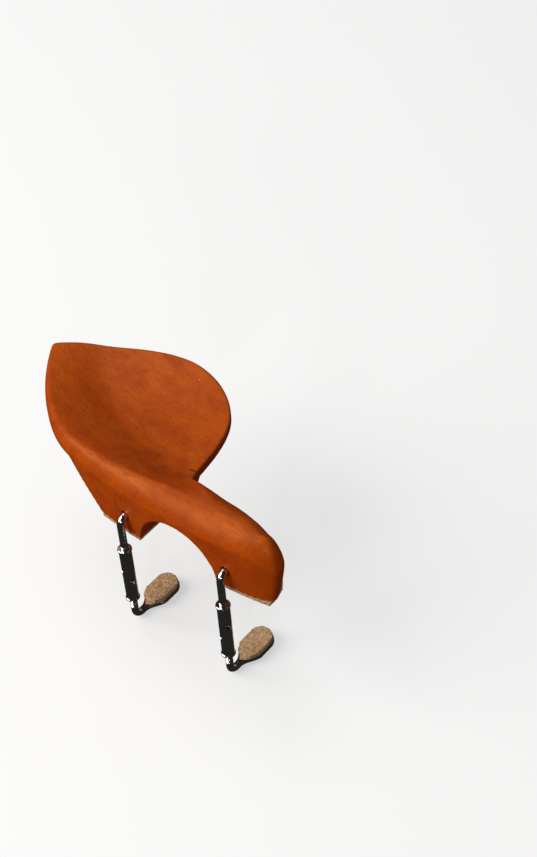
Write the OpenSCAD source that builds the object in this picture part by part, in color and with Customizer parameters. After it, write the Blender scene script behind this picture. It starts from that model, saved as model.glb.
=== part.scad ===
// Violin chin rest with two turnbuckle clamps.
// Origin: on the instrument's centre line, at the outermost edge of its top plate, level with
// that edge's upper surface. +X to the treble side, +Y towards the scroll, +Z up out of the top.
// Millimetres.

/* [Instrument] */
// Width of the instrument's lower bout, which the near wall follows
lower_bout = 207; // [200:1:212]
// Depth of the instrument's edge, from the top plate's upper face to the back's lower face
edge_depth = 37.5; // [35:0.5:40]

/* [Wood body] */
// Height of the ridge over the bridge bar
crest_h = 26; // [24:0.5:28]
// Height of the cup's far rim
rim_h = 20; // [19:0.2:20.6]
// Height of the lowest place in the cup
dish_h = 16.4; // [15.6:0.2:17]
// Thickness of the cup's floor
floor_t = 4.2; // [3.4:0.2:5]
// Depth of the two feet, from the near wall inwards
foot_depth = 14.5; // [12:0.5:15.5]

/* [Tailpiece arch] */
// Radius of the arch that bridges the tailpiece
arch_r = 15.9; // [15:0.1:16.4]
// Sideways place of the arch's centre
arch_x = 1.1; // [0:0.1:2]
// Height of the arch's centre
arch_z = 0.45; // [0:0.05:0.6]

/* [Cork] */
// Thickness of the cork under the feet
cork_t = 1.2; // [0.8:0.1:2]
// Thickness of the cork pads on the lower feet
pad_t = 2; // [1.5:0.1:2.5]

/* [Clamps] */
// Distance between the two clamps
clamp_spacing = 42.2; // [40:0.2:45]
// Distance of the barrels' axes outside the instrument's outermost edge
clamp_stand_off = 1.8; // [1.6:0.1:2.2]
// Diameter of the clamp rods
rod_d = 2.6; // [2.4:0.1:3]
// Height at which the upper rods leave the wood
hook_h = 8.2; // [7.5:0.1:9]
// Depth of the upper rods in the wood
hook_depth = 8; // [6:0.5:10]
// Outer diameter of the turnbuckle barrels
barrel_d = 4.4; // [4.2:0.1:4.8]
// Length of the turnbuckle barrels
barrel_len = 25; // [22:0.5:26]
// Height of the barrels' upper end
barrel_top = -5.4; // [-6:0.1:-5]
// Length of rod inside each end of a barrel
rod_in_barrel = 7.8; // [6:0.2:8]
// Radial running clearance of the rods in the barrels
rod_fit = 0.05; // [0.02:0.01:0.1]
// Diameter of the key cross holes
key_hole_d = 1.9; // [1.6:0.1:2.1]
// Distance between a barrel's two key cross holes
key_hole_gap = 5.2; // [4.6:0.2:5.6]
// Width of the flat lower feet
foot_w = 9; // [7:0.5:10]
// Thickness of the flat lower feet
foot_t = 1.8; // [1.6:0.1:2.2]
// Distance that the lower feet reach in from the barrels' axes
foot_reach = 21; // [18:0.5:24]

/* [Hidden] */

wood_colour = [0.76, 0.40, 0.17];
cork_colour = [0.78, 0.62, 0.42];
chrome_colour = [0.78, 0.79, 0.80];

// The instrument's lower bout: a superellipse, with the outermost edge at y = 0.
bout_half = lower_bout / 2;
bout_reach = 75.6;
bout_power = 2.45;

// Sections across the wood, from the cup's left tip to the bar: near edge x, then the far edge's x and y.
sections = [
    [-88.4, -89.2, 41.4],
    [-87, -87.4, 43.6],
    [-82, -80, 49],
    [-76, -70, 54],
    [-69, -60, 58.6],
    [-61, -50, 61.6],
    [-53, -40, 62.4],
    [-45, -30, 60.2],
    [-37, -21.5, 55.8],
    [-30, -15, 49.9],
    [-24, -11.2, 43.2],
    [-18, -8.8, 35],
    [-13.5, -7.2, 26.5],
    [-10, -6, 20.6],
    [-6, -3.4, 17.3],
    [0, 1.6, 16.7],
    [8, 9, 16.7],
    [17, 17.5, 16.2],
    [25, 25.5, 14.6],
    [32, 32, 12.4]
];
// The nose beyond the last section: how far it reaches, where its middle runs, how fast its sides
// close in, how square its near and far corners are, and how far from its end the top rolls down.
nose_start = 32;
nose_reach = 8;
nose_mid = 7;
nose_taper = 0.25;
near_power = 6;
far_power = 2.3;
nose_roll = 7.5;
// Where the undercut below the nose begins, and the share of its reach that the foot stands back at
// its near and its far corner, whose places along y follow.
undercut_x = 29;
near_undercut = 0.17;
far_undercut = 0.34;
near_corner_y = 2.5;
far_corner_y = 11.5;

// Height of the arris where the near wall meets the roll, along x.
arris = [
    [-90, 19.2], [-62, 18.4], [-46, 18.2], [-20, 18.4],
    [5, 18.5], [28, 19.4], [34, 18.3], [41, 14]
];
// Height of the ridge's crest over the bar's crest height, along x.
crest = [
    [-90, -5.6], [-76, -4.9], [-60, -4.2], [-50, -3.2], [-40, -2.5],
    [-30, -1.6], [-18, -0.8], [-4, 0], [30, 0], [43, -0.5]
];
// Width of the roll, from arris to crest, along x. The bar's far side rolls over as its near side does.
roll_w = [
    [-90, 1.2], [-76, 1.9], [-60, 2.6], [-50, 3.2], [-40, 3.8], [-30, 4.4],
    [-18, 5.4], [-4, 7.4], [8, 8], [17, 7.8], [25, 6.8], [32, 5.4]
];
// Half the distance over which the tables above are smoothed.
table_blur = 4;
// How far round its quarter circle the roll starts, which leaves an arris along the near wall.
arris_break = 0.13;
// Width of the slope from the ridge down into the cup, at the left tip and by the inner corner.
slope_w = 21;
corner_slope_w = 12.5;
corner_begin = -34;
corner_end = -8;
// How much of the slope is a plain curve, which leaves a soft edge along the crest.
slope_edge = 0.6;
// Middle and half-widths of the hollow in the cup.
cup_mid = [-46, 33];
cup_half = [45, 29];
// Width and drop of the softened edge round the cup's far side.
rim_round = 0.9;
rim_drop = 0.7;
// Height of the far arris along the bar.
bar_far_h = 16.8;
// Where along x the cup gives way to the bar.
cup_end = -8;
bar_begin = 8;
// Where along x the cup's softened far edge widens into the bar's far roll.
far_roll_start = -5;
far_roll_end = 14;
// Where along x the near edge leaves the instrument's edge, how softly, and how fast.
leave_x = -54;
leave_soft = 3;
leave_rate = 0.165;
leave_curve = 0.0046;
// The left foot's outer end, and the slope of the wood that rises from it.
foot_end_x = -33.2;
foot_flare = 0.98;
foot_back_flare = 1.8;
// Depth of the softened lower edge.
lower_round = 2.2;

// Sampling of the wood's surface.
steps_per_section = 3;
nose_steps = 8;
across = 18;
wall_rows = 2;

clamp_x = clamp_spacing / 2;
rod_r = rod_d / 2;
bore_r = rod_r + rod_fit;
barrel_r = barrel_d / 2;
collar_r = barrel_r + 0.3;
collar_h = 0.9;
collar_chamfer = 0.35;
barrel_bottom = barrel_top - barrel_len;
barrel_mid = (barrel_top + barrel_bottom) / 2;
key_turn = -22;
hook_bend_r = 2.8;
hook_mouth_r = rod_r + 0.5;
hook_mouth_depth = 1.6;
bracket_bend_r = 3.4;
pad_top = -edge_depth;
foot_top = pad_top - pad_t;
foot_mid = foot_top - foot_t / 2;
pad_end_gap = 0.8;
cork_edge_gap = 0.3;
right_cork_end = 37.2;
foot_start = 2;
rod_in_foot = 3.5;
foot_neck = 4;
tool_fn = 64;

function clamp01(v) = max(0, min(1, v));
function mix(a, b, k) = a + (b - a) * k;
function ease(a, b, v) = let (k = clamp01((v - a) / (b - a))) k * k * (3 - 2 * k);
// A quarter circle from 0 at s = 0 to 1 at s = 1.
function quarter(s) = let (k = 1 - clamp01(s)) sqrt(1 - k * k);
// The roll's profile: a quarter circle without its first, upright part.
function roll(s) =
    let (start = quarter(arris_break))
    (quarter(arris_break + (1 - arris_break) * clamp01(s)) - start) / (1 - start);
// The cup's near slope: 1 at the crest, which it leaves at a soft edge, and level at 0.
function fall(s) = let (k = clamp01(s)) mix((1 + cos(180 * k)) / 2, pow(1 - k, 1.5), slope_edge);
// A table of [x, value] read at x, with its corners smoothed.
function along(table, x) =
    (lookup(x - table_blur, table) + lookup(x, table) + lookup(x + table_blur, table)) / 3;

// A smooth curve through the points of a list of numbers, at place t counted in points.
function through(list, t) =
    let (n = len(list), i = max(0, min(n - 2, floor(t))), f = t - i)
    let (p0 = list[max(0, i - 1)], p1 = list[i], p2 = list[i + 1], p3 = list[min(n - 1, i + 2)])
    0.5 * (2 * p1 + (p2 - p0) * f + (2 * p0 - 5 * p1 + 4 * p2 - p3) * f * f + (3 * p1 - p0 - 3 * p2 + p3) * f * f * f);

// The instrument's edge, and the wood's near edge, which leaves it towards the left tip.
function bout_edge(x) = bout_reach * (1 - pow(1 - pow(abs(x) / bout_half, bout_power), 1 / bout_power));
function drift(x) =
    let (t = leave_soft * ln(1 + exp((leave_x - x) / leave_soft)))
    leave_rate * t + leave_curve * t * t;
function near_y(x) = bout_edge(x) + drift(x);

// A station is a straight line across the wood: [near point, far point, edge angle sines].
function plain_station(t) =
    let (nx = through([for (s = sections) s[0]], t))
    [
        [nx, near_y(nx)],
        [through([for (s = sections) s[1]], t), through([for (s = sections) s[2]], t)]
    ];
function corner_k(a, power) = pow(1 - pow(sin(a), power), 1 / power);
function nose_station(a) =
    let (x = nose_start + nose_reach * sin(a), taper = nose_taper * (x - nose_start))
    let (near = near_y(nose_start) + taper, far = sections[len(sections) - 1][2] - taper)
    [
        [x, nose_mid - (nose_mid - near) * corner_k(a, near_power)],
        [x, nose_mid + (far - nose_mid) * corner_k(a, far_power)]
    ];
stations = concat(
    [for (i = [0 : (len(sections) - 1) * steps_per_section]) plain_station(i / steps_per_section)],
    [for (i = [1 : nose_steps]) nose_station(86 * i / nose_steps)]
);
// Sine of the angle between a station's line and the edge that side (0 = near, 1 = far) at station i.
// The nose has its own end roll, so it counts as straight.
function edge_sine(i, side) =
    let (a = stations[max(0, i - 1)][side], b = stations[min(len(stations) - 1, i + 1)][side])
    let (edge = (b - a) / norm(b - a), line = stations[i][1] - stations[i][0])
    stations[i][side][0] > nose_start ? 1 : abs(edge[0] * line[1] - edge[1] * line[0]) / norm(line);

// Heights of the upper surface. q is the point, dn and df its distances from the near and far edges.
function dish(q) =
    let (u = [(q[0] - cup_mid[0]) / cup_half[0], (q[1] - cup_mid[1]) / cup_half[1]])
    mix(dish_h, rim_h, min(1.25, u * u));
function bar_share(x) = ease(cup_end, bar_begin, x);
function crest_z(x) = crest_h + along(crest, x);
function inner_top(q, dn) =
    let (floor_z = mix(dish(q), crest_z(q[0]), bar_share(q[0])))
    let (w = mix(slope_w, corner_slope_w, ease(corner_begin, corner_end, q[0])))
    mix(floor_z, crest_z(q[0]), fall((dn - along(roll_w, q[0])) / w));
function far_edge_z(q) = mix(dish(q) - rim_drop, bar_far_h, bar_share(q[0]));
function top_z(q, s, dn, df) =
    let (edge_z = mix(along(arris, q[0]), far_edge_z(q), ease(0, 1, s)), near_w = along(roll_w, q[0]))
    let (far_w = mix(rim_round, near_w, ease(far_roll_start, far_roll_end, q[0])))
    let (end_k = quarter((nose_start + nose_reach - q[0]) / nose_roll))
    mix(edge_z, inner_top(q, dn), roll(dn / near_w) * quarter(df / far_w) * end_k);

// Heights of the lower surface: the cup's underside, or the feet where they are lower.
function foot_z(q, dn) =
    cork_t + max(foot_flare * max(0, foot_end_x - q[0]), foot_back_flare * max(0, dn - foot_depth));
function under_z(q, dn, df) =
    let (cup = dish(q) - floor_t + lower_round * (1 - quarter(min(dn, df) / lower_round)) / 2)
    min(cup, foot_z(q, dn));

// The nose and its foot stand back as they go down.
function tuck(p) =
    let (k = clamp01(1 - (p[2] - cork_t) / (bar_far_h - cork_t)))
    let (far_share = clamp01((p[1] - near_corner_y) / (far_corner_y - near_corner_y)))
    let (back = mix(near_undercut, far_undercut, far_share) * pow(k, 1.4))
    [p[0] - max(0, p[0] - undercut_x) * back, p[1], p[2]];

// One closed ring of points round station i: over the top from near to far, then back underneath.
function ring(i) =
    let (st = stations[i], length = norm(st[1] - st[0]), sn = edge_sine(i, 0), sf = edge_sine(i, 1))
    let (places = [for (k = [0 : across]) (1 - cos(180 * k / across)) / 2])
    let (pts = [for (s = places) mix(st[0], st[1], s)])
    let (dn = [for (s = places) s * length * sn], df = [for (s = places) (1 - s) * length * sf])
    let (top = [for (k = [0 : across]) [pts[k][0], pts[k][1], top_z(pts[k], places[k], dn[k], df[k])]])
    let (low = [for (k = [0 : across]) [pts[k][0], pts[k][1], min(top[k][2] - 0.6, under_z(pts[k], dn[k], df[k]))]])
    [
        for (p = concat(
            top,
            [for (r = [1 : wall_rows]) mix(top[across], low[across], r / (wall_rows + 1))],
            [for (k = [across : -1 : 0]) low[k]],
            [for (r = [1 : wall_rows]) mix(low[0], top[0], r / (wall_rows + 1))]
        )) tuck(p)
    ];

module wood_block() {
    rings = [for (i = [0 : len(stations) - 1]) ring(i)];
    n = len(rings[0]);
    last = (len(rings) - 1) * n;
    end_rings = [rings[0], rings[len(rings) - 1]];
    end_mids = [for (r = end_rings) (r[across / 2] + r[across / 2 + across + wall_rows + 1]) / 2];
    points = concat([for (r = rings) for (p = r) p], end_mids);
    caps = [
        for (k = [0 : n - 1])
            let (next = (k + 1) % n)
            for (face = [[last + n, next, k], [last + n + 1, last + k, last + next]]) face
    ];
    sides = [
        for (i = [0 : len(rings) - 2]) for (k = [0 : n - 1])
            let (a = i * n + k, b = i * n + (k + 1) % n)
            for (face = [[a, b, a + n], [b, b + n, a + n]]) face
    ];
    polyhedron(points, concat(sides, caps), convexity = 8);
}

// A cylinder that runs from a point along +Y.
module along_y(from, r, length) {
    translate(from) rotate([-90, 0, 0]) cylinder(r = r, h = length, $fn = tool_fn);
}

module arch_cut() {
    along_y([arch_x, -10, arch_z], arch_r, 60);
}

module chin_plate() {
    color(wood_colour) difference() {
        wood_block();
        arch_cut();
        for (side = [-1, 1]) {
            wall_y = bout_edge(clamp_x);
            along_y([side * clamp_x, wall_y - 5, hook_h], rod_r, 5 + hook_depth);
            along_y([side * clamp_x, wall_y - 5, hook_h], hook_mouth_r, 5 + hook_mouth_depth);
        }
    }
}

// A foot's cork from x0 to x1: its near side follows the instrument's edge, and far is the rest of its outline.
module cork_sheet(x0, x1, far) {
    steps = 12;
    near = [for (i = [0 : steps]) let (x = mix(x0, x1, i / steps)) [x, near_y(x)]];
    color(cork_colour) linear_extrude(cork_t) polygon(concat(near, far));
}

module left_cork() {
    x0 = foot_end_x;
    x1 = arch_x - arch_r - cork_edge_gap;
    cork_sheet(x0, x1, [[x1, foot_depth], [x0 + 2, foot_depth], [x0, foot_depth - 2]]);
}

module right_cork() {
    x0 = arch_x + arch_r + cork_edge_gap;
    x1 = right_cork_end;
    cork_sheet(x0, x1, [[x1, 6.5], [x1 - 1, 10.5], [x1 - 4, foot_depth], [x0, foot_depth]]);
}

// A quarter bend of rod in the YZ plane about [0, 0]: from pointing -Y at the top to pointing down.
module rod_bend(r) {
    rotate([90, 0, 90]) rotate_extrude(angle = 90, start = 90, $fn = 96) translate([r, 0]) circle(rod_r, $fn = 48);
}

// The upper rod: out of the wood, over, and down into the barrel.
module hook(side) {
    axis_y = -clamp_stand_off;
    bend_y = axis_y + hook_bend_r;
    inner_end = bout_edge(clamp_x) + hook_depth;
    lower_end = barrel_top - rod_in_barrel;
    color(chrome_colour) translate([side * clamp_x, 0, 0]) {
        along_y([0, bend_y, hook_h], rod_r, inner_end - bend_y);
        translate([0, bend_y, hook_h - hook_bend_r]) rod_bend(hook_bend_r);
        translate([0, axis_y, lower_end]) cylinder(r = rod_r, h = hook_h - hook_bend_r - lower_end, $fn = tool_fn);
    }
}

// The barrel's half profile: a tube with a chamfered collar at each end.
barrel_profile = [
    [bore_r, barrel_bottom],
    [collar_r - collar_chamfer, barrel_bottom],
    [collar_r, barrel_bottom + collar_chamfer],
    [collar_r, barrel_bottom + collar_h - collar_chamfer],
    [barrel_r, barrel_bottom + collar_h],
    [barrel_r, barrel_top - collar_h],
    [collar_r, barrel_top - collar_h + collar_chamfer],
    [collar_r, barrel_top - collar_chamfer],
    [collar_r - collar_chamfer, barrel_top],
    [bore_r, barrel_top]
];

module barrel(side) {
    color(chrome_colour) translate([side * clamp_x, -clamp_stand_off, 0]) difference() {
        rotate_extrude($fn = tool_fn) polygon(barrel_profile);
        // The right barrel's upper hole faces outwards, and the left one's is a quarter turn on.
        for (hole = [0, 1])
            translate([0, 0, barrel_mid + key_hole_gap * (0.5 - hole)])
                rotate([0, 0, key_turn - 90 * (side < 0 ? 1 - hole : hole)])
                    rotate([0, 90, 0])
                        cylinder(d = key_hole_d, h = 2 * collar_r + 2, center = true, $fn = 32);
    }
}

// Outline of a lower foot from y0 to y1: it widens from the rod's width and has a round inner end.
module foot_outline(w, y0, y1, neck_w, neck) {
    polygon([
        [-neck_w / 2, y0], [neck_w / 2, y0],
        [w / 2, y0 + neck], [w / 2, y1 - w / 2],
        [-w / 2, y1 - w / 2], [-w / 2, y0 + neck]
    ]);
    translate([0, y1 - w / 2]) circle(d = w, $fn = tool_fn);
}

// The lower rod: out of the barrel, down and under, ending in the flat foot.
module bracket(side) {
    axis_y = -clamp_stand_off;
    bend_y = axis_y + bracket_bend_r;
    rod_top = barrel_bottom + rod_in_barrel;
    bend_z = foot_mid + bracket_bend_r;
    foot_end = axis_y + foot_reach;
    color(chrome_colour) translate([side * clamp_x, 0, 0]) {
        translate([0, axis_y, bend_z]) cylinder(r = rod_r, h = rod_top - bend_z, $fn = tool_fn);
        translate([0, bend_y, bend_z]) mirror([0, 0, 1]) rod_bend(bracket_bend_r);
        along_y([0, bend_y, foot_mid], rod_r, rod_in_foot);
        translate([0, 0, foot_top - foot_t]) linear_extrude(foot_t) 
            foot_outline(foot_w, bend_y + foot_start, foot_end, rod_d + 1.4, foot_neck);
    }
}

module pad(side) {
    bend_y = bracket_bend_r - clamp_stand_off;
    foot_end = foot_reach - clamp_stand_off;
    color(cork_colour) translate([side * clamp_x, 0, foot_top]) linear_extrude(pad_t)
        foot_outline(foot_w - pad_end_gap, bend_y + rod_in_foot + 0.3, foot_end - pad_end_gap / 2, rod_d + 2.6, foot_neck - 1);
}

module left_hook() { hook(-1); }
module right_hook() { hook(1); }
module left_barrel() { barrel(-1); }
module right_barrel() { barrel(1); }
module left_bracket() { bracket(-1); }
module right_bracket() { bracket(1); }
module left_pad() { pad(-1); }
module right_pad() { pad(1); }

chin_plate();
left_cork();
right_cork();
left_hook();
right_hook();
left_barrel();
right_barrel();
left_bracket();
right_bracket();
left_pad();
right_pad();
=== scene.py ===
"""A violin chin rest: carved wood on cork feet, with two turnbuckle clamps.

The frame's origin is on the instrument's centre line, at the outermost edge of its top plate.
+X runs to the treble side, +Y towards the scroll and +Z up. Shapes are worked out in millimetres
and stored in metres.
"""
import math

import bpy
import numpy as np
from mathutils import Matrix, Vector, noise


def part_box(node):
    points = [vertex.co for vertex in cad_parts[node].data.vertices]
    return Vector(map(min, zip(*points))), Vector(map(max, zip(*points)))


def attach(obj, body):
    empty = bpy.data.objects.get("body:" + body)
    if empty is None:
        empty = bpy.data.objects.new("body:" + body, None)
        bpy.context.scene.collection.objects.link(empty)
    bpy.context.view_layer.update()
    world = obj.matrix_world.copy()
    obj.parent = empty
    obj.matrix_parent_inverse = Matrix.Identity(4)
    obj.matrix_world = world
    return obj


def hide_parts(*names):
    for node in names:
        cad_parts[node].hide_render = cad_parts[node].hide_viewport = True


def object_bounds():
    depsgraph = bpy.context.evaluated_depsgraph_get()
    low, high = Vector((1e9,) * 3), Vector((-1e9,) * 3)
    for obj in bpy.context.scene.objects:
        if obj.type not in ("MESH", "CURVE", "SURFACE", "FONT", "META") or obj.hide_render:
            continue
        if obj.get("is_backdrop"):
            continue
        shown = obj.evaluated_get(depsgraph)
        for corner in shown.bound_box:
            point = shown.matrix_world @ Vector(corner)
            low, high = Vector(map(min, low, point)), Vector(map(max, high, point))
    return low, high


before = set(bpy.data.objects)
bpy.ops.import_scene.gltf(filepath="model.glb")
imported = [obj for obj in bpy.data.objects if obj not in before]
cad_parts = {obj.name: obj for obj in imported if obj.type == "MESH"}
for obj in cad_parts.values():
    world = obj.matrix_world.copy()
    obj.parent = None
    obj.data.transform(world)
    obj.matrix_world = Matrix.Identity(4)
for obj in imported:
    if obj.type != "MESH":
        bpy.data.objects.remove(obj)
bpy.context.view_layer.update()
MM = 0.001


# ---------------------------------------------------------------- sizes read from the frame

def box_mm(node):
    low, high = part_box(node)
    return np.array(low) / MM, np.array(high) / MM


BARREL_LOW, BARREL_HIGH = box_mm("right_barrel")
HOOK_LOW, HOOK_HIGH = box_mm("right_hook")
BRACKET_LOW, BRACKET_HIGH = box_mm("right_bracket")
CORK_TOP = box_mm("right_cork")[1][2]
CLAMP_X = (BARREL_LOW[0] + BARREL_HIGH[0]) / 2
AXIS_Y = (BARREL_LOW[1] + BARREL_HIGH[1]) / 2
BARREL_BOTTOM, BARREL_TOP = BARREL_LOW[2], BARREL_HIGH[2]
ROD_R = (HOOK_HIGH[0] - HOOK_LOW[0]) / 2
HOOK_H = HOOK_HIGH[2] - ROD_R
FOOT_TOP = box_mm("right_pad")[0][2]
FOOT_W = BRACKET_HIGH[0] - BRACKET_LOW[0]
FOOT_END = BRACKET_HIGH[1]
ROD_TOP = BRACKET_HIGH[2]


# ---------------------------------------------------------------- camera

def make_camera():
    """Looks down at the rest from the front right, as a player would see it on a table."""
    forward = Vector((-0.46236, 0.52753, -0.71269)).normalized()
    up = Vector((-0.40835, 0.58677, 0.69925)).normalized()
    right = forward.cross(up).normalized()
    up = right.cross(forward)
    data = bpy.data.cameras.new("camera")
    data.sensor_fit = "VERTICAL"
    data.sensor_height = 36
    data.lens = 70.22
    data.shift_x = 0.00105
    data.shift_y = 0.0636
    data.clip_start = 0.01
    camera = bpy.data.objects.new("camera", data)
    turn = Matrix((right, up, -forward)).transposed().to_4x4()
    camera.matrix_world = Matrix.Translation((0.264310, -0.252946, 0.402928)) @ turn
    bpy.context.scene.collection.objects.link(camera)
    bpy.context.scene.camera = camera


make_camera()


# ---------------------------------------------------------------- mesh helpers

def new_piece(name, points, faces):
    """A smooth-shaded object from points in millimetres."""
    mesh = bpy.data.meshes.new(name)
    mesh.from_pydata((np.asarray(points, float) * MM).tolist(), [], faces)
    mesh.validate()
    mesh.polygons.foreach_set("use_smooth", [True] * len(mesh.polygons))
    piece = bpy.data.objects.new(name, mesh)
    bpy.context.scene.collection.objects.link(piece)
    return piece


def rings_piece(name, rings, closed_ends=True):
    """Joins closed rings of points into a skin, with a fan over each end."""
    rings = np.asarray(rings, float)
    count, sides = rings.shape[:2]
    faces = []
    for i in range(count - 1):
        for k in range(sides):
            a, b = i * sides + k, i * sides + (k + 1) % sides
            faces.append((a, b, b + sides, a + sides))
    points = rings.reshape(-1, 3)
    if closed_ends:
        first_mid, last_mid = count * sides, count * sides + 1
        points = np.vstack([points, rings[0].mean(0), rings[-1].mean(0)])
        last = (count - 1) * sides
        for k in range(sides):
            faces.append((first_mid, (k + 1) % sides, k))
            faces.append((last_mid, last + k, last + (k + 1) % sides))
    return new_piece(name, points, faces)


def apply_modifiers(piece):
    """Bakes the piece's modifiers into its mesh."""
    graph = bpy.context.evaluated_depsgraph_get()
    mesh = bpy.data.meshes.new_from_object(piece.evaluated_get(graph))
    piece.modifiers.clear()
    piece.data = mesh
    mesh.polygons.foreach_set("use_smooth", [True] * len(mesh.polygons))


def cut_away(piece, tools):
    """Subtracts each tool from the piece and deletes the tools."""
    for tool in tools:
        cut = piece.modifiers.new("cut", "BOOLEAN")
        cut.operation = "DIFFERENCE"
        cut.solver = "EXACT"
        cut.object = tool
    apply_modifiers(piece)
    for tool in tools:
        bpy.data.objects.remove(tool)


def soften(piece, grain, passes, keep=1.0):
    """Rebuilds the piece in small even facets, sands its edges and keeps a share of the facets."""
    even = piece.modifiers.new("even", "REMESH")
    even.mode = "VOXEL"
    even.voxel_size = grain * MM
    sand = piece.modifiers.new("sand", "SMOOTH")
    sand.factor = 0.5
    sand.iterations = passes
    thin = piece.modifiers.new("thin", "DECIMATE")
    thin.ratio = keep
    apply_modifiers(piece)


def turned(profile, sides, axis_from, axis_to):
    """Rings of a lathe-turned shape, from a profile of (radius, distance along the axis)."""
    start, end = np.asarray(axis_from, float), np.asarray(axis_to, float)
    along = (end - start) / np.linalg.norm(end - start)
    side = np.cross(along, [0.0, 0.0, 1.0] if abs(along[2]) < 0.9 else [1.0, 0.0, 0.0])
    side /= np.linalg.norm(side)
    other = np.cross(along, side)
    angles = np.linspace(0, 2 * math.pi, sides, endpoint=False)
    spokes = np.cos(angles)[:, None] * side + np.sin(angles)[:, None] * other
    return [start + along * d + spokes * r for r, d in profile]


def drill(name, start, end, radius, sides=64):
    """A plain round cutting tool."""
    length = float(np.linalg.norm(np.subtract(end, start)))
    return rings_piece(name, turned([(radius, 0), (radius, length)], sides, start, end))


def finish_piece(piece, body, slot, material, *nodes):
    """Gives the piece its material, the body it rides on and the frame's nodes it stands for."""
    piece.data.materials.clear()
    piece.data.materials.append(material)
    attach(piece, body)
    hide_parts(*nodes)


# ---------------------------------------------------------------- the wood's shape

BOUT_HALF = 103.5
BOUT_REACH = 75.6
BOUT_POWER = 2.45
# Where along x the near edge leaves the instrument's edge, how softly, and how fast.
LEAVE_X, LEAVE_SOFT = -54, 3
LEAVE_RATE, LEAVE_CURVE = 0.165, 0.0046

# Across the wood, from the cup's left tip to the bar: near edge x, far edge x, far edge y.
SECTIONS = np.array([
    (-88.4, -89.2, 41.4), (-87, -87.4, 43.6), (-82, -80, 49), (-76, -70, 54),
    (-69, -60, 58.6), (-61, -50, 61.6), (-53, -40, 62.4), (-45, -30, 60.2),
    (-37, -21.5, 55.8), (-30, -15, 49.9), (-24, -11.2, 43.2), (-18, -8.8, 35),
    (-13.5, -7.2, 26.5), (-10, -6, 20.6), (-6, -3.4, 17.3), (0, 1.6, 16.7),
    (8, 9, 16.7), (17, 17.5, 16.2), (25, 25.5, 14.6), (32, 32, 12.4),
])
# The nose beyond the last section: where it starts, how far it reaches, where its middle runs,
# how fast its sides close in, and how far from its end the top rolls down.
NOSE_START = 32
NOSE_REACH = 8
NOSE_MID = 7
NOSE_TAPER = 0.25
NOSE_ROLL = 7
# How square the nose's two corners are in plan, and how far its foot stands back at each.
NEAR_POWER, FAR_POWER = 6, 2.3
UNDERCUT_X = 29
NEAR_UNDERCUT, FAR_UNDERCUT = 0.17, 0.34

# Along x: heights of the near wall's arris and of the ridge's crest, and the roll's width between them.
ARRIS = [
    (-90, 19.2), (-62, 18.4), (-46, 18.2), (-20, 18.4),
    (5, 18.5), (28, 19.4), (34, 18.3), (41, 14),
]
CREST = [
    (-90, 20.4), (-76, 21.1), (-60, 21.8), (-50, 22.8), (-40, 23.5),
    (-30, 24.4), (-18, 25.2), (-4, 26), (30, 26), (43, 25.5),
]
ROLL_W = [
    (-90, 1.2), (-76, 1.9), (-60, 2.6), (-50, 3.2), (-40, 3.8), (-30, 4.4),
    (-18, 5.4), (-4, 7.4), (8, 8), (17, 7.8), (25, 6.8), (32, 5.4),
]
# Width of the slope from the ridge down into the cup, at the left tip and by the inner corner.
SLOPE_W, CORNER_SLOPE_W = 21, 12.5
CORNER_BEGIN, CORNER_END = -34, -8
# How much of the slope is a plain curve, which leaves a soft edge along the crest.
SLOPE_EDGE = 0.6
# Heights of the cup's lowest place and of its far rim, and the hollow's middle and half-widths.
DISH_H, RIM_H = 16.4, 20
CUP_MID, CUP_HALF = np.array([-46, 33]), np.array([45, 29])
FLOOR_T = 4.2
RIM_ROUND, RIM_DROP = 0.9, 0.7
BAR_FAR_H = 16.8
# Where along x the cup gives way to the bar, and its softened rim to the bar's far roll.
CUP_END, BAR_BEGIN = -8, 8
FAR_ROLL_START, FAR_ROLL_END = -5, 14
FOOT_DEPTH = 14.5
FOOT_END_X = -33.2
FOOT_FLARE, FOOT_BACK_FLARE = 0.98, 1.8
LOWER_ROUND = 2.2
ARCH_R, ARCH_X, ARCH_Z = 15.9, 1.1, 0.45
# The upper rods enter the wood through countersunk mouths, this much wider than the rod and this deep.
MOUTH_GAP, MOUTH_DEPTH = 0.5, 1.6
# How far round its quarter circle the roll starts, which leaves the soft arris along the near wall.
ARRIS_BREAK = 0.13

# Sampling of the surface before it is rebuilt.
STEPS_PER_SECTION = 8
NOSE_STEPS = 30
ACROSS = 72
WALL_ROWS = 10


def clamp01(v):
    return np.clip(v, 0, 1)


def mix(a, b, k):
    return a + (b - a) * k


def ease(a, b, v):
    k = clamp01((v - a) / (b - a))
    return k * k * (3 - 2 * k)


def quarter(s):
    """A quarter circle from 0 at s = 0 to 1 at s = 1."""
    return np.sqrt(1 - (1 - clamp01(s)) ** 2)


def roll(s):
    """The roll's profile: a quarter circle without its first, upright part."""
    start = quarter(ARRIS_BREAK)
    return (quarter(ARRIS_BREAK + (1 - ARRIS_BREAK) * clamp01(s)) - start) / (1 - start)


def fall(s):
    """The cup's near slope: it leaves the crest at a soft edge and runs out level."""
    s = clamp01(s)
    return mix((1 + np.cos(math.pi * s)) / 2, (1 - s) ** 1.5, SLOPE_EDGE)


def along(table, x):
    """A table of (x, value) read at x, with its corners smoothed over a few millimetres."""
    table = np.array(table, float)
    return np.mean([np.interp(x + d, table[:, 0], table[:, 1]) for d in np.linspace(-5, 5, 11)], axis=0)


def through(points, t):
    """A smooth curve through evenly counted points."""
    last = len(points) - 1
    i = np.clip(np.floor(t).astype(int), 0, last - 1)
    f = (t - i)[:, None]
    p0, p1, p2, p3 = (points[np.clip(i + k, 0, last)] for k in (-1, 0, 1, 2))
    return 0.5 * (2 * p1 + (p2 - p0) * f + (2 * p0 - 5 * p1 + 4 * p2 - p3) * f ** 2
                  + (3 * p1 - p0 - 3 * p2 + p3) * f ** 3)


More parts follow.
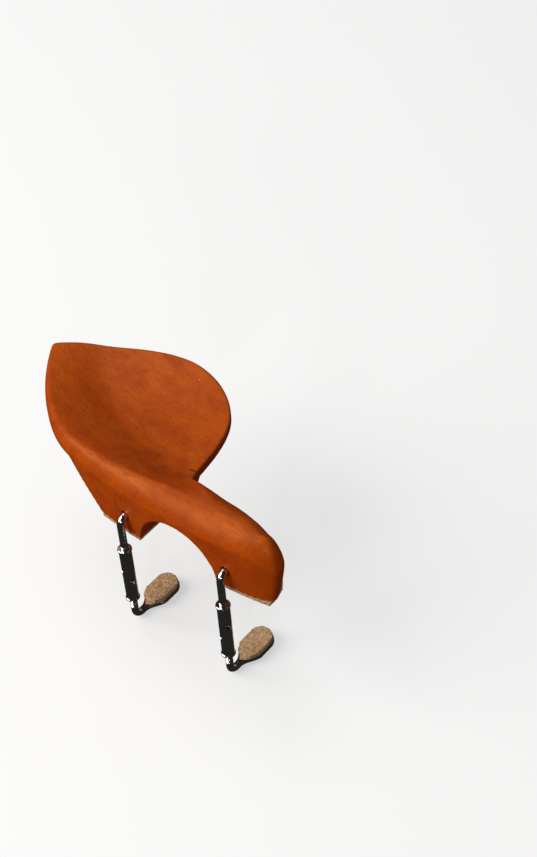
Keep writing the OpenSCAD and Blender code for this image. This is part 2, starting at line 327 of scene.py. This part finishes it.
def bout_edge(x):
    return BOUT_REACH * (1 - (1 - (np.abs(x) / BOUT_HALF) ** BOUT_POWER) ** (1 / BOUT_POWER))


def near_y(x):
    """The wood's near edge: it follows the instrument's edge and leaves it towards the left tip."""
    t = LEAVE_SOFT * np.logaddexp(0, (LEAVE_X - x) / LEAVE_SOFT)
    return bout_edge(x) + LEAVE_RATE * t + LEAVE_CURVE * t * t


def stations():
    """Straight lines across the wood: two lists of points, at the near and the far edge."""
    t = np.linspace(0, len(SECTIONS) - 1, (len(SECTIONS) - 1) * STEPS_PER_SECTION + 1)
    plain = through(SECTIONS, t)
    near = np.column_stack([plain[:, 0], near_y(plain[:, 0])])
    far = plain[:, 1:]
    a = np.radians(86) * np.arange(1, NOSE_STEPS + 1) / NOSE_STEPS
    x = NOSE_START + NOSE_REACH * np.sin(a)
    near_k, far_k = ((1 - np.sin(a) ** power) ** (1 / power) for power in (NEAR_POWER, FAR_POWER))
    taper = NOSE_TAPER * (x - NOSE_START)
    nose_near = NOSE_MID - (NOSE_MID - near_y(NOSE_START) - taper) * near_k
    nose_far = NOSE_MID + (SECTIONS[-1][2] - taper - NOSE_MID) * far_k
    return (np.vstack([near, np.column_stack([x, nose_near])]),
            np.vstack([far, np.column_stack([x, nose_far])]))


def edge_sine(edge, line):
    """Sine of the angle between an edge and the station lines that start on it."""
    run = np.gradient(edge, axis=0)
    cross = np.abs(run[:, 0] * line[:, 1] - run[:, 1] * line[:, 0])
    sine = cross / np.linalg.norm(run, axis=1) / np.linalg.norm(line, axis=1)
    return np.where(edge[:, 0] > NOSE_START, 1, sine)


def dish(x, y):
    u2 = ((x - CUP_MID[0]) / CUP_HALF[0]) ** 2 + ((y - CUP_MID[1]) / CUP_HALF[1]) ** 2
    return mix(DISH_H, RIM_H, np.minimum(1.25, u2))


def top_height(x, y, s, from_near, from_far):
    bar = ease(CUP_END, BAR_BEGIN, x)
    crest = along(CREST, x)
    roll_w = along(ROLL_W, x)
    slope_w = mix(SLOPE_W, CORNER_SLOPE_W, ease(CORNER_BEGIN, CORNER_END, x))
    inner = mix(mix(dish(x, y), crest, bar), crest, fall((from_near - roll_w) / slope_w))
    far_edge = mix(dish(x, y) - RIM_DROP, BAR_FAR_H, bar)
    edge = mix(along(ARRIS, x), far_edge, ease(0, 1, s))
    far_w = mix(RIM_ROUND, roll_w, ease(FAR_ROLL_START, FAR_ROLL_END, x))
    end = quarter((NOSE_START + NOSE_REACH - x) / NOSE_ROLL)
    return mix(edge, inner, roll(from_near / roll_w) * quarter(from_far / far_w) * end)


def under_height(x, y, from_near, from_far):
    inward = np.minimum(from_near, from_far)
    cup = dish(x, y) - FLOOR_T + LOWER_ROUND * (1 - quarter(inward / LOWER_ROUND)) / 2
    flare = np.maximum(FOOT_FLARE * np.maximum(0, FOOT_END_X - x),
                       FOOT_BACK_FLARE * np.maximum(0, from_near - FOOT_DEPTH))
    return np.minimum(cup, CORK_TOP + flare)


def tuck(points):
    """The nose and its foot stand back as they go down."""
    k = clamp01(1 - (points[..., 2] - CORK_TOP) / (BAR_FAR_H - CORK_TOP))
    share = mix(NEAR_UNDERCUT, FAR_UNDERCUT, clamp01((points[..., 1] - 2.5) / 9))
    points[..., 0] -= np.maximum(0, points[..., 0] - UNDERCUT_X) * share * k ** 1.4
    return points


def wood_rings():
    near, far = stations()
    line = far - near
    length = np.linalg.norm(line, axis=1)[:, None]
    s = (1 - np.cos(np.pi * np.arange(ACROSS + 1) / ACROSS))[None, :] / 2
    x = mix(near[:, :1], far[:, :1], s)
    y = mix(near[:, 1:], far[:, 1:], s)
    from_near = s * length * edge_sine(near, line)[:, None]
    from_far = (1 - s) * length * edge_sine(far, line)[:, None]
    top = top_height(x, y, s, from_near, from_far)
    low = np.minimum(top - 0.6, under_height(x, y, from_near, from_far))
    top, low = np.stack([x, y, top], -1), np.stack([x, y, low], -1)
    rows = (np.arange(1, WALL_ROWS + 1) / (WALL_ROWS + 1))[None, :, None]
    far_wall = mix(top[:, -1:], low[:, -1:], rows)
    near_wall = mix(low[:, :1], top[:, :1], rows)
    return tuck(np.concatenate([top, far_wall, low[:, ::-1], near_wall], axis=1))


def make_wood(material):
    wood = rings_piece("carved_wood", wood_rings())
    tools = [drill("arch_tool", (ARCH_X, -10, ARCH_Z), (ARCH_X, 50, ARCH_Z), ARCH_R, 192)]
    wall_y = float(bout_edge(CLAMP_X))
    for side in (-1, 1):
        x = side * CLAMP_X
        ends = (x, wall_y - 5, HOOK_H), (x, wall_y + MOUTH_DEPTH, HOOK_H)
        tools.append(drill("mouth_tool", *ends, ROD_R + MOUTH_GAP))
    cut_away(wood, tools)
    soften(wood, 0.3, 5, 0.55)
    finish_piece(wood, "chin_plate", "wood", material, "chin_plate")


# ---------------------------------------------------------------- cork

def make_cork(name, node, body, material):
    """Cork sheet cut with a knife: crumbly edges, and faces that stay in their planes."""
    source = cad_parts[node]
    cork = bpy.data.objects.new(name, source.data.copy())
    bpy.context.scene.collection.objects.link(cork)
    soften(cork, 0.19, 2)
    low, high = box_mm(node)
    count = len(cork.data.vertices)
    places, normals = np.zeros(count * 3), np.zeros(count * 3)
    cork.data.vertices.foreach_get("co", places)
    cork.data.vertices.foreach_get("normal", normals)
    places, normals = places.reshape(-1, 3) / MM, normals.reshape(-1, 3)
    crumb = np.array([noise.fractal(place * 1.6, 0.6, 2.2, 4) for place in places]) * 0.16 - 0.05
    push = np.where(np.abs(normals[:, 2]) < 0.8, crumb, np.minimum(0, crumb * 0.4))
    places += normals * push[:, None]
    places[:, 2] = np.clip(places[:, 2], low[2], high[2])
    cork.data.vertices.foreach_set("co", (places * MM).ravel())
    cork.data.update()
    finish_piece(cork, body, "cork", material, node)


# ---------------------------------------------------------------- clamps

PITCH = 0.5
THREAD_DEPTH = 0.24
ROD_SIDES = 40
HOOK_BEND_R, BRACKET_BEND_R = 2.8, 3.4
COLLAR_R = (BARREL_HIGH[0] - BARREL_LOW[0]) / 2
COLLAR_RISE, COLLAR_H = 0.3, 0.9
BORE_R = ROD_R + 0.05
# The two key holes: radius, radius of their opened mouths, distance apart and turn about the barrel.
KEY_R, KEY_MOUTH_R = 0.95, 1.3
KEY_GAP, KEY_TURN = 5.2, -22


def thread_radius(height, angles):
    """Radius of a rod cut with a rounded screw thread, round one ring."""
    phase = (height / PITCH - angles / (2 * math.pi)) % 1
    groove = np.abs(2 * phase - 1)
    return ROD_R - THREAD_DEPTH * ease(0.15, 0.95, groove)


def rod_ring(x, centre, tangent, radii, angles, width=1.0, flat=1.0, power=2.0):
    """One ring round a path in the YZ plane. width and flat scale it across X and in the plane."""
    across = np.array([1.0, 0.0, 0.0])
    inward = np.array([0.0, -tangent[1], tangent[0]])
    c, s = np.cos(angles), np.sin(angles)
    c = np.sign(c) * np.abs(c) ** (2 / power)
    s = np.sign(s) * np.abs(s) ** (2 / power)
    spread = np.outer(c * radii * width, across) + np.outer(s * radii * flat, inward)
    return spread + [x, centre[0], centre[1]]


def arc(mid, radius, start, end, steps):
    """Points and tangents round an arc in the YZ plane, in degrees from +Y towards +Z."""
    turn = np.radians(np.linspace(start, end, steps))
    way = np.sign(end - start)
    return [((mid[0] + radius * math.cos(a), mid[1] + radius * math.sin(a)),
             (-math.sin(a) * way, math.cos(a) * way)) for a in turn]


def make_hook(name, node, side, material):
    """Upper rod: out of the wood, over, and down into the barrel."""
    mid = (AXIS_Y + HOOK_BEND_R, HOOK_H - HOOK_BEND_R)
    angles = np.linspace(0, 2 * math.pi, ROD_SIDES, endpoint=False)
    x = side * CLAMP_X
    path = [((y, HOOK_H), (-1, 0)) for y in np.linspace(HOOK_HIGH[1], mid[0], 12)]
    path += arc(mid, HOOK_BEND_R, 90, 180, 40)[1:]
    path += [((AXIS_Y, z), (0, -1)) for z in np.linspace(mid[1], HOOK_LOW[2] + 0.3, 20)[1:]]
    rings = [rod_ring(x, p, t, ROD_R, angles) for p, t in path]
    rings.append(rod_ring(x, (AXIS_Y, HOOK_LOW[2]), (0, -1), ROD_R - 0.3, angles))
    hook = rings_piece(name, rings)
    finish_piece(hook, "chin_plate", "chrome", material, node)


def barrel_profile():
    """Half section of a barrel: a tube with a rounded collar at each end."""
    body = COLLAR_R - COLLAR_RISE
    length = BARREL_TOP - BARREL_BOTTOM
    end = [(BORE_R, 0.25), (BORE_R + 0.2, 0.03), (body - 0.12, 0), (body, 0.02)]
    end += [(body + 0.3 * math.sin(a), 0.35 - 0.33 * math.cos(a)) for a in np.radians((20, 40, 60, 80))]
    end += [(COLLAR_R, COLLAR_H - 0.4), (COLLAR_R - 0.03, COLLAR_H - 0.25),
            (COLLAR_R - 0.12, COLLAR_H - 0.12), (body + 0.06, COLLAR_H - 0.04),
            (body + 0.01, COLLAR_H + 0.02)]
    other_end = [(r, length - d) for r, d in reversed(end)]
    middle = [(body, d) for d in np.linspace(COLLAR_H + 0.12, length - COLLAR_H - 0.12, 90)]
    inside = [(BORE_R, d) for d in np.linspace(length - 0.6, 0.6, 60)]
    return end + middle + other_end + inside


def make_barrel(name, node, side, material):
    """A turnbuckle, with two cross holes for the key that turns it."""
    x = side * CLAMP_X
    ends = (x, AXIS_Y, BARREL_BOTTOM), (x, AXIS_Y, BARREL_TOP)
    rings = np.array(turned(barrel_profile(), 112, *ends))
    rings = np.concatenate([rings, rings[:1]])
    barrel = rings_piece(name, rings, closed_ends=False)
    weld = barrel.modifiers.new("weld", "WELD")
    weld.merge_threshold = 0.001 * MM
    apply_modifiers(barrel)
    centre_z = (BARREL_TOP + BARREL_BOTTOM) / 2
    profile = [(KEY_MOUTH_R, 0), (KEY_MOUTH_R, 1.62), (KEY_R, 1.97),
               (KEY_R, 6.03), (KEY_MOUTH_R, 6.38), (KEY_MOUTH_R, 8)]
    tools = []
    for hole in (0, 1):
        turn = math.radians(KEY_TURN - 90 * (1 - hole if side < 0 else hole))
        way = np.array([math.cos(turn), math.sin(turn), 0])
        mid = np.array([x, AXIS_Y, centre_z + KEY_GAP * (0.5 - hole)])
        tools.append(rings_piece("key_tool", turned(profile, 50, mid - way * 4, mid + way * 4)))
    cut_away(barrel, tools)
    barrel.data.set_sharp_from_angle(angle=math.radians(34))
    finish_piece(barrel, node, "chrome", material, node)


def make_bracket(name, node, side, material):
    """Lower rod: threaded into the barrel, bent under and forged out into a flat foot."""
    foot_mid = BRACKET_LOW[2] + ROD_R
    half_t = FOOT_TOP - foot_mid
    mid = (AXIS_Y + BRACKET_BEND_R, foot_mid + BRACKET_BEND_R)
    thread_end = BARREL_BOTTOM - 4.6
    tip_r = FOOT_W / 2
    nose = half_t * 0.6
    angles = np.linspace(0, 2 * math.pi, ROD_SIDES, endpoint=False)
    x = side * CLAMP_X
    down = (0, -1)
    rings = [rod_ring(x, (AXIS_Y, ROD_TOP), down, ROD_R - 0.35, angles)]
    for z in np.arange(ROD_TOP - 0.3, thread_end, -PITCH / 9):
        fade = ease(thread_end, thread_end + 0.6, z)
        rings.append(rod_ring(x, (AXIS_Y, z), down, mix(ROD_R, thread_radius(z, angles), fade), angles))
    rings += [rod_ring(x, (AXIS_Y, z), down, ROD_R, angles) for z in np.linspace(thread_end, mid[1], 8)]
    rings += [rod_ring(x, p, t, ROD_R, angles) for p, t in arc(mid, BRACKET_BEND_R, 180, 270, 36)[1:]]
    reach = FOOT_END - mid[0]
    for k in (1 - np.cos(np.linspace(0, math.pi, 90)[1:])) / 2:
        y = mid[0] + reach * k
        spread = ease(0.8, 8.2, y - mid[0])
        past = max(0.0, y - (FOOT_END - tip_r))
        half_w = mix(ROD_R, tip_r, spread) * math.sqrt(max(0.0, 1 - (past / tip_r) ** 2))
        flat = mix(ROD_R, half_t, ease(0.3, 3.6, y - mid[0]))
        if FOOT_END - y < nose:
            flat *= math.sqrt(max(0.0, 1 - (1 - (FOOT_END - y) / nose) ** 2)) * 0.35 + 0.65
        power = mix(2, 5, ease(0.5, 5, y - mid[0]))
        rings.append(rod_ring(x, (y, foot_mid), (1, 0), 1.0, angles, max(half_w, 0.05), flat, power))
    bracket = rings_piece(name, rings)
    finish_piece(bracket, node, "chrome", material, node)


# ---------------------------------------------------------------- shader groups

def group_tree(name, inputs, outputs):
    """A node group with the given sockets: (name, kind, default) in, (name, kind) out."""
    tree = bpy.data.node_groups.new(name, "ShaderNodeTree")
    for label, kind, default in inputs:
        socket = tree.interface.new_socket(label, in_out="INPUT", socket_type="NodeSocket" + kind)
        socket.default_value = default
    for label, kind in outputs:
        tree.interface.new_socket(label, in_out="OUTPUT", socket_type="NodeSocket" + kind)
    return tree, tree.nodes.new("NodeGroupInput"), tree.nodes.new("NodeGroupOutput")


def add_node(tree, kind, settings=None, **inputs):
    """Adds a node. settings are its own properties, and inputs are numbers or sockets by name."""
    node = tree.nodes.new("ShaderNode" + kind)
    for key, value in (settings or {}).items():
        setattr(node, key, value)
    for key, value in inputs.items():
        place = int(key[1:]) if key[0] == "i" and key[1:].isdigit() else key.replace("_", " ")
        if isinstance(value, bpy.types.NodeSocket):
            tree.links.new(value, node.inputs[place])
        else:
            node.inputs[place].default_value = value
    return node


def math_node(tree, operation, a, b=0.0, clamp=False):
    node = add_node(tree, "Math", {"operation": operation, "use_clamp": clamp}, i0=a, i1=b)
    return node.outputs[0]


def span(tree, value, low, high, out_low=0.0, out_high=1.0):
    """Maps a value from one range to another, softly and without overshoot."""
    node = add_node(tree, "MapRange", {"interpolation_type": "SMOOTHSTEP"}, Value=value,
                    From_Min=low, From_Max=high, To_Min=out_low, To_Max=out_high)
    return node.outputs["Result"]


def blend_colour(tree, factor, a, b, kind="MIX"):
    node = tree.nodes.new("ShaderNodeMix")
    node.data_type = "RGBA"
    node.blend_type = kind
    for place, value in ((0, factor), (6, a), (7, b)):
        if isinstance(value, bpy.types.NodeSocket):
            tree.links.new(value, node.inputs[place])
        else:
            node.inputs[place].default_value = value
    return node.outputs[2]


def place_group(tree, group, **inputs):
    node = tree.nodes.new("ShaderNodeGroup")
    node.node_tree = group
    for key, value in inputs.items():
        label = key.replace("_", " ")
        if isinstance(value, bpy.types.NodeSocket):
            tree.links.new(value, node.inputs[label])
        else:
            node.inputs[label].default_value = value
    return node


def dust_group():
    """Sparse settled specks: a mask that is 1 on a speck."""
    tree, given, out = group_tree(
        "dust specks",
        [("Vector", "Vector", (0, 0, 0)), ("Spacing", "Float", 400.0),
         ("Size", "Float", 0.08), ("Share", "Float", 0.1)],
        [("Mask", "Float")],
    )
    cells = add_node(tree, "TexVoronoi", {"feature": "F1"}, Vector=given.outputs["Vector"],
                     Scale=given.outputs["Spacing"])
    near = math_node(tree, "LESS_THAN", cells.outputs["Distance"], given.outputs["Size"])
    picked = add_node(tree, "SeparateColor", Color=cells.outputs["Color"])
    chosen = math_node(tree, "LESS_THAN", picked.outputs[0], given.outputs["Share"])
    tree.links.new(math_node(tree, "MULTIPLY", near, chosen), out.inputs["Mask"])
    return tree


def mark_or_shade_group():
    """A soft, ragged mark at one place on the wood, such as a pin knot or a mineral streak, or a patch
    of painted shade.
    """
    tree, given, out = group_tree(
        "wood mark or shade",
        [("Vector", "Vector", (0, 0, 0)), ("Place", "Vector", (0, 0, 0)),
         ("Stretch", "Vector", (1, 1, 1)), ("Ragged", "Float", 0.4)],
        [("Mask", "Float")],
    )
    away = add_node(tree, "VectorMath", {"operation": "SUBTRACT"},
                    i0=given.outputs["Vector"], i1=given.outputs["Place"])
    scaled = add_node(tree, "VectorMath", {"operation": "DIVIDE"},
                      i0=away.outputs[0], i1=given.outputs["Stretch"])
    length = add_node(tree, "VectorMath", {"operation": "LENGTH"}, i0=scaled.outputs[0])
    rough = add_node(tree, "TexNoise", None, Vector=given.outputs["Vector"], Scale=900.0, Detail=4.0)
    shift = math_node(tree, "MULTIPLY_ADD", rough.outputs["Fac"], given.outputs["Ragged"])
    tree.links.new(length.outputs["Value"], shift.node.inputs[2])
    tree.links.new(span(tree, shift, 0.55, 1.3, 1.0, 0.0), out.inputs["Mask"])
    return tree


DUST = dust_group()
MARK = mark_or_shade_group()


def new_material(name, preview):
    """A node material: returns it with its tree, its shader and its object coordinates."""
    material = bpy.data.materials.new(name)
    material.use_nodes = True
    material.diffuse_color = preview
    tree = material.node_tree
    shader = tree.nodes["Principled BSDF"]
    place = add_node(tree, "TexCoord").outputs["Object"]
    return material, tree, shader, place


# Marks in the wood, and two patches of painted shade: place and half-size in millimetres, raggedness,
# strength and colour.
WOOD_MARKS_AND_SHADE = (
    # A pin knot by the cup's inner corner, a patch of painted shade on the roll just under the crest,
    # where the roll turns away from the light, and a streak across the roll.
    ((-7.9, 21.4, 20), (1.9, 0.6, 6), 0.5, 0.85, (0.06, 0.010, 0.002, 1)),
    ((-21.0, 4.3, 24), (3.6, 0.9, 4), 0.9, 0.6, (0.15, 0.016, 0.001, 1)),
    ((-14.8, 1.4, 22.5), (1.2, 3.4, 3.2), 0.9, 0.55, (0.16, 0.030, 0.022, 1)),
    # Streaks above the left rod.
    ((-24.7, 1.0, 12.5), (0.9, 4, 4.5), 1.0, 0.6, (0.19, 0.018, 0.001, 1)),
    ((-23.4, 1.0, 9.5), (0.6, 4, 3), 1.0, 0.6, (0.18, 0.018, 0.001, 1)),
    ((-16.2, 1.0, 14.5), (1.1, 4, 4), 1.0, 0.5, (0.20, 0.022, 0.001, 1)),
    # A short line on top of the nose, a grain line along the right wall, and a darker, redder zone on
    # the cup's near slope: painted shade where the slope faces away from the light, over a deeper wood
    # tone.
    ((32.6, 8.3, 25.4), (1.7, 0.35, 2), 0.8, 0.6, (0.14, 0.018, 0.001, 1)),
    ((31.0, 1.6, 13.3), (7.5, 4, 0.3), 0.9, 0.55, (0.19, 0.020, 0.001, 1)),
    ((-38.0, 22.0, 17), (9, 4, 9), 1.2, 0.35, (0.22, 0.026, 0.001, 1)),
)


def stretched_noise(tree, vector, scale, detail, roughness=0.5):
    """Noise drawn out along the grain."""
    drawn = add_node(tree, "Mapping", None, Vector=vector, Scale=scale).outputs[0]
    return add_node(tree, "TexNoise", None, Vector=drawn, Scale=1.0, Detail=detail,
                    Roughness=roughness).outputs["Fac"]


def wood_material():
    """Close-grained fruitwood, oiled to a satin shine."""
    material, tree, shader, place = new_material("oiled fruitwood", (0.41, 0.07, 0.01, 1))
    turned_place = add_node(tree, "Mapping", {"vector_type": "TEXTURE"}, Vector=place,
                            Rotation=(0.05, 0.06, math.radians(-12))).outputs[0]
    bend = add_node(tree, "TexNoise", None, Vector=turned_place, Scale=22.0, Detail=2.0)
    pushed = add_node(tree, "VectorMath", {"operation": "MULTIPLY_ADD"}, i0=bend.outputs["Color"],
                      i1=(0.006, 0.006, 0.006), i2=turned_place).outputs[0]

    patches = stretched_noise(tree, pushed, (34, 60, 60), 5.0, 0.6)
    clouds = add_node(tree, "TexNoise", None, Vector=pushed, Scale=120.0, Detail=6.0,
                      Roughness=0.65).outputs["Fac"]
    fibre = stretched_noise(tree, pushed, (230, 2100, 2100), 3.0, 0.55)
    flecks = stretched_noise(tree, pushed, (420, 1900, 1900), 1.0)
    rings = stretched_noise(tree, pushed, (12, 210, 210), 3.0)

    deep, plain, warm = (0.28, 0.027, 0.0006, 1), (0.40, 0.050, 0.0008, 1), (0.48, 0.077, 0.0014, 1)
    patch_mask = span(tree, patches, 0.34, 0.68)
    colour = blend_colour(tree, patch_mask, plain, warm)
    cloud_mask = span(tree, clouds, 0.42, 0.72, 0.0, 0.62)
    colour = blend_colour(tree, cloud_mask, colour, deep)
    ring_mask = span(tree, rings, 0.45, 0.75, 0.0, 0.35)
    colour = blend_colour(tree, ring_mask, colour, deep)
    fibre_mask = span(tree, fibre, 0.38, 0.72, 0.0, 0.42)
    colour = blend_colour(tree, fibre_mask, colour, deep)
    fleck_mask = span(tree, flecks, 0.60, 0.74, 0.0, 0.6)
    colour = blend_colour(tree, fleck_mask, colour, (0.16, 0.018, 0.002, 1))

    # Lays the marks over the wood's colour, with the patches of painted shade among them.
    for spot, stretch, ragged, strength, tint in WOOD_MARKS_AND_SHADE:
        mask = place_group(tree, MARK, Vector=place, Place=[v * MM for v in spot],
                           Stretch=[v * MM for v in stretch], Ragged=ragged).outputs["Mask"]
        colour = blend_colour(tree, math_node(tree, "MULTIPLY", mask, strength), colour, tint)

    dust = place_group(tree, DUST, Vector=place, Spacing=520.0, Size=0.10, Share=0.006).outputs["Mask"]
    colour = blend_colour(tree, math_node(tree, "MULTIPLY", dust, 0.7), colour, (0.75, 0.55, 0.36, 1))
    tree.links.new(colour, shader.inputs["Base Color"])

    sheen = span(tree, clouds, 0.3, 0.7, 0.40, 0.50)
    rough = math_node(tree, "MULTIPLY_ADD", fibre_mask, 0.12)
    tree.links.new(sheen, rough.node.inputs[2])
    tree.links.new(rough, shader.inputs["Roughness"])
    pores = math_node(tree, "MULTIPLY_ADD", fibre_mask, -0.6)
    tree.links.new(math_node(tree, "MULTIPLY", fleck_mask, -0.8), pores.node.inputs[2])
    bump = add_node(tree, "Bump", None, Height=pores, Strength=0.22, Distance=0.00006)
    tree.links.new(bump.outputs[0], shader.inputs["Normal"])
    shader.inputs["Specular IOR Level"].default_value = 0.45
    shader.inputs["Specular Tint"].default_value = (1.0, 0.50, 0.12, 1)
    shader.inputs["Coat Weight"].default_value = 0.03
    shader.inputs["Coat Roughness"].default_value = 0.24
    return material


def cork_material():
    """Pressed cork: pale grains with dark gaps between them."""
    material, tree, shader, place = new_material("pressed cork", (0.62, 0.42, 0.24, 1))
    grains = add_node(tree, "TexVoronoi", {"feature": "F1"}, Vector=place, Scale=1500.0, Randomness=1.0)
    gaps = add_node(tree, "TexVoronoi", {"feature": "DISTANCE_TO_EDGE"}, Vector=place, Scale=1500.0)
    crumbs = add_node(tree, "TexNoise", None, Vector=place, Scale=2600.0, Detail=3.0)
    tone = add_node(tree, "SeparateColor", Color=grains.outputs["Color"]).outputs[0]
    colour = blend_colour(tree, tone, (0.40, 0.22, 0.095, 1), (0.70, 0.47, 0.26, 1))
    dark = span(tree, crumbs.outputs["Fac"], 0.56, 0.70, 0.0, 0.75)
    colour = blend_colour(tree, dark, colour, (0.14, 0.060, 0.022, 1))
    edge = span(tree, gaps.outputs["Distance"], 0.0, 0.09, 0.55, 0.0)
    colour = blend_colour(tree, edge, colour, (0.20, 0.09, 0.035, 1))
    tree.links.new(colour, shader.inputs["Base Color"])
    tree.links.new(span(tree, crumbs.outputs["Fac"], 0.3, 0.7, 0.82, 0.95), shader.inputs["Roughness"])
    height = math_node(tree, "SUBTRACT", tone, dark)
    bump = add_node(tree, "Bump", None, Height=height, Strength=0.6, Distance=0.00012)
    tree.links.new(bump.outputs[0], shader.inputs["Normal"])
    shader.inputs["Specular IOR Level"].default_value = 0.3
    return material


def chrome_material():
    """Polished nickel chrome with light handling marks."""
    material, tree, shader, place = new_material("polished chrome", (0.8, 0.8, 0.81, 1))
    shader.inputs["Metallic"].default_value = 1.0
    smudge = add_node(tree, "TexNoise", None, Vector=place, Scale=420.0, Detail=4.0, Roughness=0.6)
    scratch = add_node(tree, "TexNoise", None, Vector=add_node(
        tree, "Mapping", None, Vector=place, Scale=(5200, 5200, 700)).outputs[0], Scale=1.0, Detail=2.0)
    dust = place_group(tree, DUST, Vector=place, Spacing=900.0, Size=0.12, Share=0.012).outputs["Mask"]
    tint = span(tree, smudge.outputs["Fac"], 0.35, 0.75)
    colour = blend_colour(tree, tint, (0.84, 0.84, 0.85, 1), (0.74, 0.73, 0.72, 1))
    colour = blend_colour(tree, math_node(tree, "MULTIPLY", dust, 0.6), colour, (0.55, 0.5, 0.46, 1))
    tree.links.new(colour, shader.inputs["Base Color"])
    shine = span(tree, smudge.outputs["Fac"], 0.4, 0.75, 0.10, 0.19)
    rough = math_node(tree, "MULTIPLY_ADD", dust, 0.5)
    tree.links.new(shine, rough.node.inputs[2])
    tree.links.new(rough, shader.inputs["Roughness"])
    bump = add_node(tree, "Bump", None, Height=scratch.outputs["Fac"], Strength=0.06, Distance=0.00001)
    tree.links.new(bump.outputs[0], shader.inputs["Normal"])
    return material


# ---------------------------------------------------------------- studio

def floor_material():
    """Pale studio paper. It throws little light back up, as a dark table under the rest would."""
    material = bpy.data.materials.new("studio paper")
    material.use_nodes = True
    tree = material.node_tree
    tree.nodes.clear()
    paper = add_node(tree, "BsdfDiffuse", None, Color=(0.46, 0.46, 0.46, 1))
    glow = add_node(tree, "Emission", None, Color=(1, 1, 1, 1), Strength=0.505)
    seen = tree.nodes.new("ShaderNodeAddShader")
    tree.links.new(paper.outputs[0], seen.inputs[0])
    tree.links.new(glow.outputs[0], seen.inputs[1])
    bounced = add_node(tree, "BsdfDiffuse", None, Color=(0.20, 0.13, 0.10, 1))
    rays = add_node(tree, "LightPath")
    both = tree.nodes.new("ShaderNodeMixShader")
    out = tree.nodes.new("ShaderNodeOutputMaterial")
    tree.links.new(rays.outputs["Is Camera Ray"], both.inputs[0])
    tree.links.new(bounced.outputs[0], both.inputs[1])
    tree.links.new(seen.outputs[0], both.inputs[2])
    tree.links.new(both.outputs[0], out.inputs[0])
    return material


def make_floor(height):
    reach = 3.0
    mesh = bpy.data.meshes.new("floor")
    corners = [(x * reach, y * reach, height) for x, y in ((-1, -1), (1, -1), (1, 1), (-1, 1))]
    mesh.from_pydata(corners, [], [(0, 1, 2, 3)])
    mesh.materials.append(floor_material())
    floor = bpy.data.objects.new("floor", mesh)
    floor.visible_glossy = False
    bpy.context.scene.collection.objects.link(floor)
    floor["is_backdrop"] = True


def add_light(name, way, distance, size, power, colour=(1, 1, 1)):
    """A square soft light, aimed at the middle of the rest from the given direction."""
    data = bpy.data.lights.new(name, "AREA")
    data.shape = "SQUARE"
    data.size = size
    data.energy = power
    data.color = colour
    light = bpy.data.objects.new(name, data)
    way = Vector(way).normalized()
    middle = Vector((-0.02, 0.02, 0))
    light.location = middle + way * distance
    light.rotation_mode = "QUATERNION"
    light.rotation_quaternion = way.to_track_quat("Z", "Y")
    bpy.context.scene.collection.objects.link(light)


def make_world():
    """Pale to the eye, gentle as fill light, and dark in reflections."""
    world = bpy.data.worlds.new("studio")
    bpy.context.scene.world = world
    world.use_nodes = True
    tree = world.node_tree
    tree.nodes.clear()
    rays = add_node(tree, "LightPath")
    seen = add_node(tree, "Background", None, Color=(0.91, 0.91, 0.91, 1), Strength=1.0)
    fill = add_node(tree, "Background", None, Color=(1, 1, 1, 1), Strength=0.24)
    mirrored = add_node(tree, "Background", None, Color=(1, 0.96, 0.92, 1), Strength=0.02)
    shiny = tree.nodes.new("ShaderNodeMixShader")
    eye = tree.nodes.new("ShaderNodeMixShader")
    out = tree.nodes.new("ShaderNodeOutputWorld")
    tree.links.new(rays.outputs["Is Glossy Ray"], shiny.inputs[0])
    tree.links.new(fill.outputs[0], shiny.inputs[1])
    tree.links.new(mirrored.outputs[0], shiny.inputs[2])
    tree.links.new(rays.outputs["Is Camera Ray"], eye.inputs[0])
    tree.links.new(shiny.outputs[0], eye.inputs[1])
    tree.links.new(seen.outputs[0], eye.inputs[2])
    tree.links.new(eye.outputs[0], out.inputs[0])


def make_studio():
    bpy.context.scene.view_settings.view_transform = "Standard"
    make_world()
    make_floor(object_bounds()[0].z)
    add_light("key_softbox", (-0.54, -0.60, 0.58), 1.3, 1.1, 17.5, (1, 0.98, 0.95))
    add_light("top_softbox", (-0.40, 0.20, 0.90), 1.4, 0.7, 4.6)
    add_light("front_lamp", (0.45, -0.85, 0.28), 0.9, 0.06, 1.1)


# ---------------------------------------------------------------- the whole rest

def build():
    wood, cork, chrome = wood_material(), cork_material(), chrome_material()
    make_wood(wood)
    for word, side in (("left", -1), ("right", 1)):
        make_cork(f"{word}_cork_sheet", f"{word}_cork", "chin_plate", cork)
        make_hook(f"{word}_upper_rod", f"{word}_hook", side, chrome)
        make_barrel(f"{word}_turnbuckle", f"{word}_barrel", side, chrome)
        make_bracket(f"{word}_lower_rod", f"{word}_bracket", side, chrome)
        make_cork(f"{word}_cork_pad", f"{word}_pad", f"{word}_bracket", cork)
    make_studio()


build()
